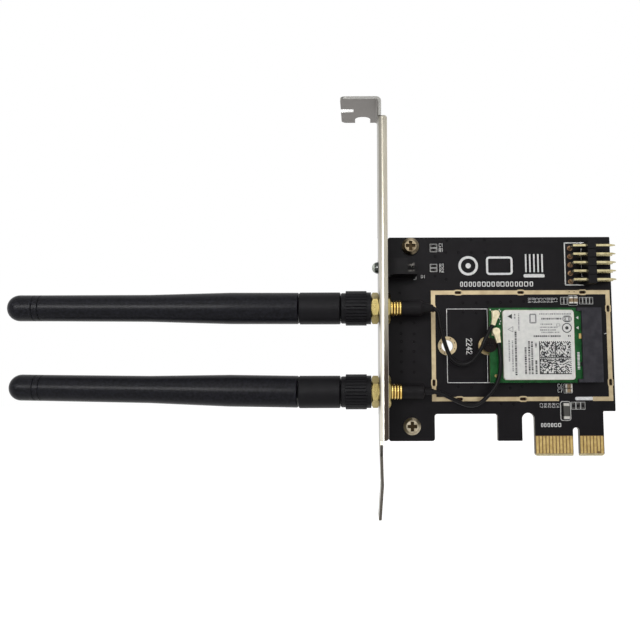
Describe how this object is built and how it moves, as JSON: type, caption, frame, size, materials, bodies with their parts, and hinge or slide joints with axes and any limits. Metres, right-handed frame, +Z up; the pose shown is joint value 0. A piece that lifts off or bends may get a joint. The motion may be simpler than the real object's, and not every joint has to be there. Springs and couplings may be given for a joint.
{
  "type": "wireless network adapter card",
  "caption": "Upright edge-connector card with a plug-in radio module, a folded slot bracket, coaxial pigtails and rod antennas that tilt and swivel.",
  "frame": {"origin": "centre line of the contact edge's key slot, at the lower edge of the contacts, in the middle of the board's thickness", "axes": "+Z up from the contact edge, +X along the board away from the bracket, +Y out of the board's solder side"},
  "size_m": [0.1777, 0.0184, 0.12],
  "materials": {
    "solder_mask": "black solder mask, satin",
    "gold_plating": "pale gold plating",
    "bracket_steel": "bright plated steel",
    "screw_steel": "plated steel",
    "jack_brass": "gold-plated brass",
    "boot_rubber": "black heat-shrink",
    "cable_jacket": "black cable jacket",
    "antenna_plastic": "near-black satin plastic",
    "module_green": "green solder mask",
    "shield_tin": "tinned shield can",
    "label_paper": "plain pale label",
    "moulded_black": "black moulding",
    "light_lens": "pale translucent lens",
    "lead_tin": "tinned leads",
    "chip_ceramic": "brown ceramic"
  },
  "bodies": {
    "card": {"bracket": "bracket_steel", "bracket_screw_lower": "screw_steel", "bracket_screw_upper": "screw_steel", "cable_boot_lower": "boot_rubber", "cable_boot_upper": "boot_rubber", "cable_plug_lower": "jack_brass", "cable_plug_upper": "jack_brass", "chip_bodies": "chip_ceramic", "chip_caps": "lead_tin", "coax_lower": "cable_jacket", "coax_upper": "cable_jacket", "coupling_insert_lower": "jack_brass", "coupling_insert_upper": "jack_brass", "coupling_sleeve_lower": "antenna_plastic", "coupling_sleeve_upper": "antenna_plastic", "crimp_ferrule_lower": "jack_brass", "crimp_ferrule_upper": "jack_brass", "edge_contacts": "gold_plating", "guard_strip": "gold_plating", "header_body": "moulded_black", "header_pins": "gold_plating", "hole_pads": "gold_plating", "led_holder": "moulded_black", "led_leads": "lead_tin", "module_label": "label_paper", "module_pcb": "module_green", "module_receptacles": "jack_brass", "module_screw": "screw_steel", "module_shield": "shield_tin", "module_standoff": "jack_brass", "pcb": "solder_mask", "sma_jack_lower": "jack_brass", "sma_jack_upper": "jack_brass", "sma_nut_lower": "jack_brass", "sma_nut_upper": "jack_brass", "socket_body": "moulded_black", "socket_tails": "lead_tin", "status_lamp": "light_lens"},
    "elbow_upper": {"antenna_elbow_upper": "antenna_plastic", "hinge_pin_upper": "screw_steel"},
    "whip_upper": {"hinge_tongue_upper": "antenna_plastic", "antenna_whip_upper": "antenna_plastic", "radiator_upper": "jack_brass"},
    "elbow_lower": {"antenna_elbow_lower": "antenna_plastic", "hinge_pin_lower": "screw_steel"},
    "whip_lower": {"hinge_tongue_lower": "antenna_plastic", "antenna_whip_lower": "antenna_plastic", "radiator_lower": "jack_brass"}
  },
  "joints": [
    {"name": "swivel_upper", "type": "hinge", "parent": "card", "child": "elbow_upper", "pos_m": [-0.06935, -0.007, 0.0431], "axis": [1, 0, 0], "range_deg": [0, 180]},
    {"name": "tilt_upper", "type": "hinge", "parent": "elbow_upper", "child": "whip_upper", "pos_m": [-0.077, -0.007, 0.0431], "axis": [-0.0035, 0, -1], "range_deg": [0, 90]},
    {"name": "swivel_lower", "type": "hinge", "parent": "card", "child": "elbow_lower", "pos_m": [-0.06935, -0.007, 0.01895], "axis": [1, 0, 0], "range_deg": [-180, 0]},
    {"name": "tilt_lower", "type": "hinge", "parent": "elbow_lower", "child": "whip_lower", "pos_m": [-0.077, -0.007, 0.01895], "axis": [-0.0175, 0, -0.9998], "range_deg": [0, 88]}
  ]
}
